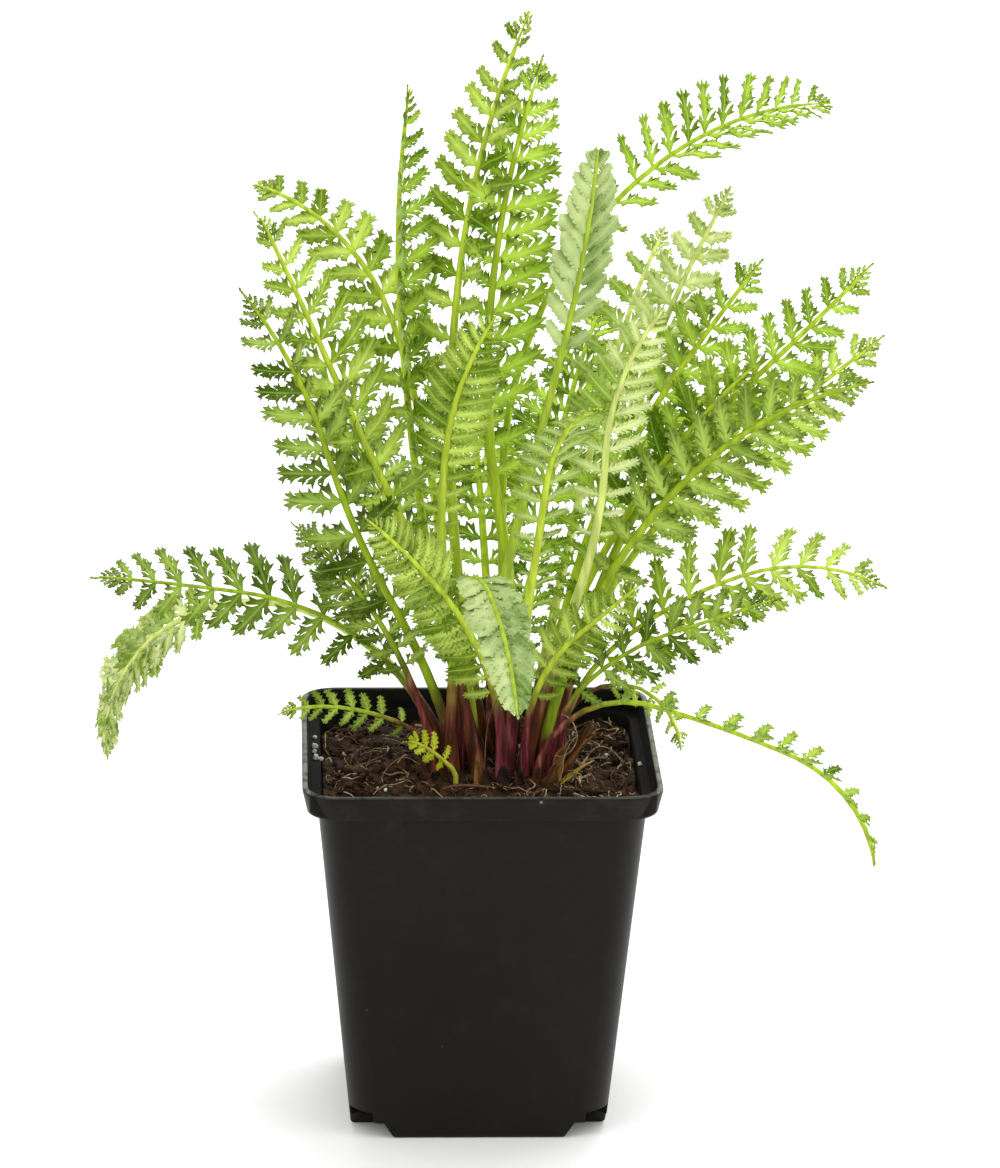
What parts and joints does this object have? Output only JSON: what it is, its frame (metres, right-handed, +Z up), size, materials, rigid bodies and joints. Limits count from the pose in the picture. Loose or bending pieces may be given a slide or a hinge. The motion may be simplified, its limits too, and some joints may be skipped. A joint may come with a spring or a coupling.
{
  "type": "potted yarrow plant",
  "caption": "Young yarrow with feathery, finely cut leaf fronds arching from its crown, planted in peat in a square black plastic nursery pot with a stepped-out collar.",
  "frame": {"origin": "middle of the pot's underside, on the plane that it stands on", "axes": "+Z up the pot to the plant's tips; -Y towards the front side of the pot as pictured; +X to its right"},
  "size_m": [0.2007, 0.1774, 0.2807],
  "materials": {
    "black_plastic": "thin moulded black plastic, softly satin, a little dusty",
    "peat": "moist dark brown peat with pale fibres",
    "leaf_deep": "deep green leaf, softly dull",
    "leaf_fresh": "fresh green leaf, softly dull",
    "leaf_light": "light green leaf, lit through",
    "leaf_pale": "pale sunlit green leaf",
    "leaf_grey": "grey-green downy underside of the leaf",
    "leaf_young": "bright yellow-green young leaf"
  },
  "bodies": {
    "root": {"pot": "black_plastic", "soil": "peat", "frond_tall_back": "leaf_light", "frond_tall_centre": "leaf_fresh", "frond_tall_left": "leaf_fresh", "frond_left_arching": "leaf_light", "frond_mid_lacy": "leaf_light", "frond_left_second": "leaf_light", "frond_left_outer": "leaf_deep", "frond_left_level": "leaf_deep", "frond_left_drooping": "leaf_pale", "frond_left_low": "leaf_light", "frond_grey_upright": "leaf_grey", "frond_right_arching": "leaf_fresh", "frond_right_pale": "leaf_pale", "frond_back_pale": "leaf_pale", "frond_right_upper": "leaf_fresh", "frond_right_long": "leaf_fresh", "frond_right_middle": "leaf_deep", "frond_right_level": "leaf_light", "frond_right_lower": "leaf_deep", "frond_right_trailing": "leaf_fresh", "frond_front_drooping": "leaf_grey", "frond_front_left": "leaf_light", "frond_front_right": "leaf_light", "frond_mid_pale": "leaf_pale", "frond_front_curled": "leaf_light", "frond_right_inner": "leaf_fresh", "frond_right_behind": "leaf_light", "frond_back_right": "leaf_fresh", "frond_back_middle": "leaf_fresh", "frond_back_left": "leaf_deep", "frond_back_low": "leaf_deep", "frond_right_short": "leaf_light", "frond_inner_left": "leaf_deep", "frond_young": "leaf_young"}
  },
  "joints": []
}
